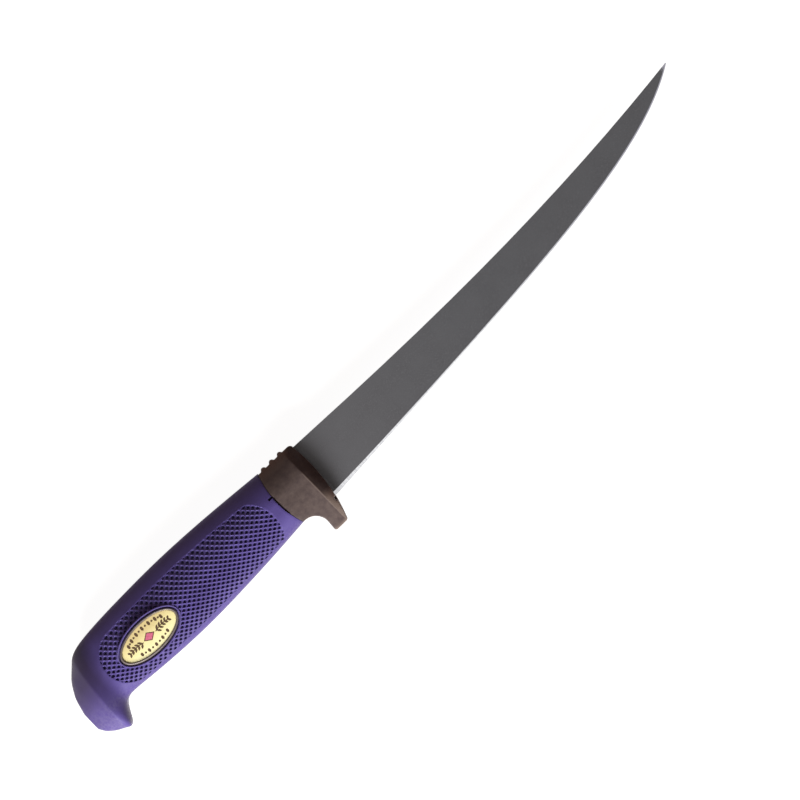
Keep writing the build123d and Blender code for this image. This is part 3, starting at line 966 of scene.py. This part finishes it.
# Guard
def casting():
    """The guard before its outline is cut: oval sections that deepen smoothly into the quillon."""
    waist = -guard_belly_drop + (guard_crown + guard_belly_drop) * waist_share
    half = half_thickness + side_grind
    places = (-guard_length - overrun, -quillon_back, -nose_back)
    bellies, feet, sides, rounds = (
        natural_curve(places, (at_joint, at_quillon, at_quillon))
        for at_joint, at_quillon in (
            (-guard_belly_drop, -quillon_drop),
            (half * foot_share, quillon_foot_half),
            (belly_side_share, quillon_side_share),
            (belly_foot_share, quillon_foot_share),
        )
    )
    nose = natural_curve([nose_back * (station - 1) for station in nose_stations], nose_halves)
    body_places = np.linspace(places[0], places[-1], body_steps)
    nose_places = np.linspace(places[-1], nose_front, nose_steps)[1:]
    loops = []
    for place in np.concatenate((body_places, nose_places)):
        share = nose(place) if place > -nose_back else 1.0
        shape = bellies(place), half * share, feet(place) * share, sides(place), rounds(place)
        half_line = oval(guard_crown, waist, *shape)[0]
        whole = np.concatenate((half_line, half_line[-2:0:-1] * (1, -1)))
        loops.append(np.column_stack((np.full(len(whole), place), whole[:, 0], whole[:, 1] + mid_z)))
    return mesh_of("casting", *skin_over(loops))


def arc(centre, radius, first, last, steps):
    """Points on a circle between two angles in degrees."""
    angles = np.radians(np.linspace(first, last, steps))
    return [(centre[0] + radius * math.cos(a), centre[1] + radius * math.sin(a)) for a in angles]


def rounded_corner(before, corner, after, radius):
    """Points of the round that replaces a corner between two straight runs."""
    corner = np.asarray(corner, float)
    to_last, to_next = np.asarray(before) - corner, np.asarray(after) - corner
    to_last, to_next = to_last / np.linalg.norm(to_last), to_next / np.linalg.norm(to_next)
    opening = math.acos(float(to_last @ to_next))
    reach = radius / math.tan(opening / 2)
    start, end = corner + to_last * reach, corner + to_next * reach
    centre = corner + (to_last + to_next) / np.linalg.norm(to_last + to_next) * radius / math.sin(opening / 2)
    turn = math.pi - opening
    made = []
    for t in np.linspace(0, 1, corner_steps):
        spoke = (start - centre) * math.sin((1 - t) * turn) + (end - centre) * math.sin(t * turn)
        made.append(tuple(centre + spoke / math.sin(turn)))
    return made


def front_back(rise):
    """How far the guard's front lies behind its foremost point at a height."""
    return front_radius - math.sqrt(front_radius**2 - (rise - front_rise) ** 2)


def guard_outline():
    """The guard from the side: bowed joint, finger notch, quillon, bowed front and the ribs on top."""
    rises = np.linspace(guard_rise, -guard_belly_drop, joint_steps)
    joint = [(-float(joint_back(rise)) + gap_in_guard * gap_share(rise), rise) for rise in rises]
    notch = arc((-notch_centre_back, -guard_belly_drop - notch_radius), notch_radius, 90, 0, notch_steps)
    foot_rear = (-quillon_back, -quillon_drop)
    foot_front = (-front_back(-quillon_drop), -quillon_drop)
    fronts = [(-front_back(rise), rise) for rise in np.linspace(-quillon_drop, guard_rise, front_steps)]
    outline = joint + notch
    outline += rounded_corner(notch[-1], foot_rear, foot_front, corner_radius)
    outline += rounded_corner(foot_rear, foot_front, fronts[1], corner_radius)
    outline += fronts[2:-2]
    outline += rounded_corner(fronts[-2], fronts[-1], joint[0], lip_radius)
    for number in range(rib_count):
        outline += arc((-rib_front - rib_pitch * number, guard_rise), rib_radius, 0, 180, rib_steps)
    return outline


def make_guard(finish):
    """The casting, cut to its outline, then tumbled: remeshed finely and smoothed."""
    body = placed("casting", casting())
    outline = guard_outline()
    upright = skin_over([[(x, y, z) for x, y in outline] for z in (0.0, 2 * half_thickness)])
    slot = (mid_z - slot_half, mid_z + slot_half)
    pocket_heights = (-heel_drop - pocket_end_gap, spine_root_rise + slot_gap)
    tang_heights = (tang_axis_rise - tang_root_width / 2, tang_axis_rise + tang_root_width / 2)
    socket_ahead = (-guard_length - overrun, -guard_length + tenon_depth)
    socket_heights = (tang_axis_rise - tenon_height / 2, tang_axis_rise + tenon_height / 2)
    steps = (
        ("INTERSECT", mesh_of("side_outline", *upright)),
        ("DIFFERENCE", block_of("blade_pocket", (-pocket_depth, overrun), pocket_heights, slot)),
        ("DIFFERENCE", block_of("tang_slot", (-guard_length - overrun, -overrun), tang_heights, slot)),
        (
            "DIFFERENCE",
            block_of("tenon_socket", socket_ahead, socket_heights, (mid_z - tenon_half, mid_z + tenon_half)),
        ),
        ("DIFFERENCE", block_of("heel_nick", *heel_nick)),
    )
    tools = combined(body, steps)
    remeshed = body.modifiers.new("remeshed", "REMESH")
    remeshed.mode = "VOXEL"
    remeshed.voxel_size = casting_grain * METRE
    tumbled = body.modifiers.new("tumbled", "SMOOTH")
    tumbled.factor = tumbling_share
    tumbled.iterations = tumbling_rounds
    mesh = settled("guard_casting", body, tools)
    mesh.shade_smooth()
    return piece("guard_casting", mesh, finish, "bronze", "guard")


# Badge
def round_badge(half_length, half_height, height, share):
    """Point on an ellipse round the badge's middle, at a share of the way round."""
    angle = 2 * math.pi * share
    return badge_x + half_length * math.cos(angle), badge_y + half_height * math.sin(angle), height


def ellipse_ring(profile, steps, closed=True):
    """Points and faces round the plate's outline. A profile that isn't closed gets flat ends instead.

    The booleans hand the painted shade, scuffs and painted sheen to the points of their tools in order, so
    this order is part of the look.
    """
    points, faces, size = [], [], len(profile)
    for k in range(steps):
        for grown, height in profile:
            reaches = plate_half_length + grown, plate_half_height + grown
            points.append(round_badge(*reaches, height, k / steps))
        here, there = k * size, (k + 1) % steps * size
        for j in range(size if closed else size - 1):
            after = (j + 1) % size
            faces.append((here + j, there + j, there + after, here + after))
    if not closed:
        faces += [[k * size + row for k in range(steps)] for row in (0, size - 1)]
    return points, faces


def plate_top(x, y):
    """Height of the crowned plate at a place seen from its middle."""
    share = math.hypot(x / plate_half_length, y / plate_half_height)
    return plate_edge_high + plate_crown * (1 - share**2)


def foil():
    """The plate, slightly crowned, with a turned-down edge."""
    crown_shares = (0.15, 0.3, 0.45, 0.6, 0.75, 0.88, 0.96)
    profile = [(share, plate_edge_high + plate_crown * (1 - share**2)) for share in crown_shares]
    profile += [(0.99, plate_edge_high - 0.02), (0.996, plate_edge_high - 0.08), (0.996, plate_edge_low)]
    loops = []
    for share, height in profile:
        reaches = plate_half_length * share, plate_half_height * share
        loops.append([round_badge(*reaches, height, k / ring_steps) for k in range(ring_steps)])
    hubs = [(badge_x, badge_y, height) for height in (plate_top(0, 0), plate_edge_low)]
    return mesh_of("badge_foil", *skin_over(loops, hubs), foil_crease)


def printed(name, outlines, lift=0.0):
    """Thin raised ink: each outline is a closed loop seen from the badge's middle."""
    points, faces = [], []
    for outline in outlines:
        loops = [
            [(badge_x + x, badge_y + y, plate_top(x, y) + height + lift) for x, y in outline]
            for height in (-ink_root, ink_thickness)
        ]
        more_points, more_faces = skin_over(loops)
        faces += [[len(points) + corner for corner in face] for face in more_faces]
        points += more_points
    return mesh_of(name, points, faces)


def leaf(x, y, angle, length):
    """Outline of a leaf that starts at a point and lies at an angle."""
    outline = []
    for k in range(2 * leaf_steps):
        side, t = (1, k / leaf_steps) if k < leaf_steps else (-1, 2 - k / leaf_steps)
        out = length * t
        off = side * leaf_width / 2 * math.sin(math.pi * t) ** leaf_bluntness if 0 < t < 1 else 0
        along = out * math.cos(angle) - off * math.sin(angle)
        upwards = out * math.sin(angle) + off * math.cos(angle)
        outline.append((x + along, y + upwards))
    return outline


def ribbon(line, width):
    """Outlines of the short lengths that make up a line of some width."""
    line = np.array(line)
    run = np.gradient(line, axis=0)
    run /= np.linalg.norm(run, axis=1)[:, None]
    side = np.stack((-run[:, 1], run[:, 0]), axis=1) * width / 2
    below, above = line - side, line + side
    return [[below[k], below[k + 1], above[k + 1], above[k]] for k in range(len(line) - 1)]


def stem_point(hand, t):
    return hand * (stem_start + stem_run * t), stem_base + stem_rise * math.sin(math.pi * t)


def sprigs():
    """Outlines of a leafy sprig on either hand of the badge's middle."""
    outlines = []
    for hand in (1, -1):
        outlines += ribbon([stem_point(hand, t) for t in np.linspace(0, 1, stem_points)], stem_width)
        for k, t in enumerate(np.linspace(leaf_first, leaf_last, leaf_count)):
            for up in (1, -1):
                lean = math.radians(leaf_lean) * up
                angle = lean if hand > 0 else math.pi - lean
                outlines.append(leaf(*stem_point(hand, t), angle, leaf_length - leaf_shrink * k))
    return outlines


def marks():
    """Outlines of the bowed rows of lozenges and beads above and below the sprigs."""
    outlines = []
    for up, mark_count, reach, tall in mark_rows:
        for k in range(mark_count):
            angle = math.pi / 2 + reach * (k / (mark_count - 1) * 2 - 1)
            x = plate_half_length * row_length_share * math.cos(angle)
            y = up * plate_half_height * row_height_share * math.sin(angle)
            wide, high = (mark_half_width, tall) if k % 2 == 0 else (bead_half_width, bead_half_height)
            outlines.append([(x + wide * across, y + high * upwards) for across, upwards in mark_corners])
    return outlines


def make_badge(frame_finish, gold, ink, garnet):
    bezel = mesh_of("badge_frame", *ellipse_ring(bezel_profile, bezel_steps), bezel_crease)
    piece("badge_frame", bezel, frame_finish, "badge_frame", "badge_bezel")
    piece("badge_foil", foil(), gold, "badge_gold", "badge_plate")
    piece("badge_print", printed("badge_print", sprigs() + marks()), ink, "badge_gold")
    corners = np.linspace(0, 2 * math.pi, 5)[:-1]
    lozenge = [(lozenge_half_length * math.cos(a), lozenge_half_height * math.sin(a)) for a in corners]
    rim = [(x * lozenge_rim, y * lozenge_rim) for x, y in lozenge]
    piece("badge_enamel", printed("badge_enamel", [lozenge], enamel_lift), garnet, "badge_gold")
    piece("badge_enamel_rim", printed("badge_enamel_rim", [rim]), ink, "badge_gold")


make_grip(moulded_rubber())
make_guard(darkened_bronze())
make_badge(
    stamped_brass(),
    gold_lacquer(),
    screen_ink("brown_ink", "#3C2810", "#52391C"),
    screen_ink("garnet_enamel", "#B8546F", "#CA6C86"),
)
for node, finish in (("blade", coated_steel()), ("handle_core", core_plastic()), ("badge_pad", foam_pad())):
    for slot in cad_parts[node].material_slots:
        slot.material = finish


# Studio: a pale floor that the camera sees as white, with the knife's soft shadow left on it
def backdrop(tree, surface, plain, bright):
    """The camera, glossy and transmission rays see the bright shader; every other ray sees the plain one."""
    rays = add(tree, "LightPath").outputs
    seen = add(tree, "Math MAXIMUM", (rays["Is Camera Ray"], rays["Is Glossy Ray"]))
    seen = add(tree, "Math MAXIMUM", (seen, rays["Is Transmission Ray"]))
    mixed = add(tree, "MixShader", (seen, plain, bright))
    tree.links.new(mixed.outputs[0], surface)


floor_size, floor_drop = 3.0, -0.0003           # metres
floor_mesh = bpy.data.meshes.new("floor")
floor_mesh.from_pydata(
    [(sx * floor_size, sy * floor_size, floor_drop) for sx, sy in ((-1, -1), (1, -1), (1, 1), (-1, 1))],
    [],
    [(0, 1, 2, 3)],
)
floor = placed("floor", floor_mesh)
paper = bpy.data.materials.new("white_paper")
paper_tree, paper_surface = cleared(paper, "OutputMaterial")
bounce = add(paper_tree, "BsdfDiffuse", {"Color": linear("#865C54")})
shaded = add(paper_tree, "BsdfDiffuse", {"Color": linear("#808080")})
glow = add(paper_tree, "Emission", {"Color": linear("#FFFFFF"), "Strength": 0.96})
backdrop(paper_tree, paper_surface, bounce, add(paper_tree, "AddShader", (shaded, glow)))
floor_mesh.materials.append(paper)

world = bpy.data.worlds.new("studio")
bpy.context.scene.world = world
world_tree, world_surface = cleared(world, "OutputWorld")
ambient = add(world_tree, "Background", {"Color": linear("#FF9458"), "Strength": 0.08})
white = add(world_tree, "Background", {"Color": linear("#FFFFFF"), "Strength": 1.0})
backdrop(world_tree, world_surface, ambient, white)

# Camera: straight down on the knife, which rises to the right at 44 degrees in the picture. Metres
turn = math.radians(44)
view_centre = (0.00358, -0.00158)
frame_width = 0.2844
camera_data = bpy.data.cameras.new("camera")
camera_data.lens = 200
camera_data.sensor_width = 36
camera_data.clip_end = 10
camera = placed("camera", camera_data)
camera.location = (*view_centre, mid_z * METRE + frame_width * camera_data.lens / camera_data.sensor_width)
camera.rotation_euler = (0, 0, -turn)
bpy.context.scene.camera = camera


def softbox(name, towards, height, distance, size, power):
    """Square area lamp on the side of the picture that towards names, aimed at the knife's middle."""
    data = bpy.data.lights.new(name, "AREA")
    data.shape = "SQUARE"
    data.size = size
    data.energy = power
    lamp = placed(name, data)
    side, rise = math.radians(towards), math.radians(height)
    away = (math.cos(rise) * math.cos(side), math.cos(rise) * math.sin(side), math.sin(rise))
    lamp.location = [part * distance for part in away]
    lamp.rotation_euler = (math.pi / 2 - rise, 0, side + math.pi / 2)


# The key comes from the bottom of the picture, which is behind the butt on the belly side
softbox("key", towards=-134, height=30, distance=1.2, size=0.6, power=31.5)

bpy.context.scene.view_settings.view_transform = "Standard"
